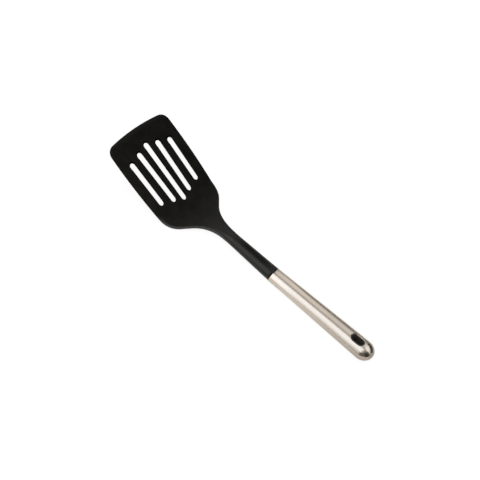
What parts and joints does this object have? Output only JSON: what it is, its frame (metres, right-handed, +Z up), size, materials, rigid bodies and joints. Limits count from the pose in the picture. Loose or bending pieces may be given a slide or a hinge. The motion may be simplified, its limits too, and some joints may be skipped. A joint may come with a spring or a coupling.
{
  "type": "slotted spatula",
  "caption": "Slotted kitchen spatula: a black nylon blade, neck and tang in one moulding, on a tapered hollow steel handle with a lined hang slot.",
  "frame": {"origin": "middle of the tool's footprint, on the worktop, where the tool lies along its handle's underside", "axes": "+X from the handle's end to the blade's front edge, +Y across the blade, +Z up from the worktop"},
  "size_m": [0.3306, 0.0846, 0.0433],
  "materials": {
    "black_nylon": "fine matte moulded",
    "satin_steel": "satin polished",
    "grey_nylon": "plain moulded",
    "zinc_steel": "zinc plated",
    "silicone": "matte"
  },
  "bodies": {
    "root": {"slotted_head": "black_nylon", "tang_seal_ring": "silicone", "handle_tube": "satin_steel", "handle_end_dome": "satin_steel", "handle_core": "grey_nylon", "screw_washer": "zinc_steel", "tang_screw": "zinc_steel", "hang_slot_liner": "black_nylon"}
  },
  "joints": []
}
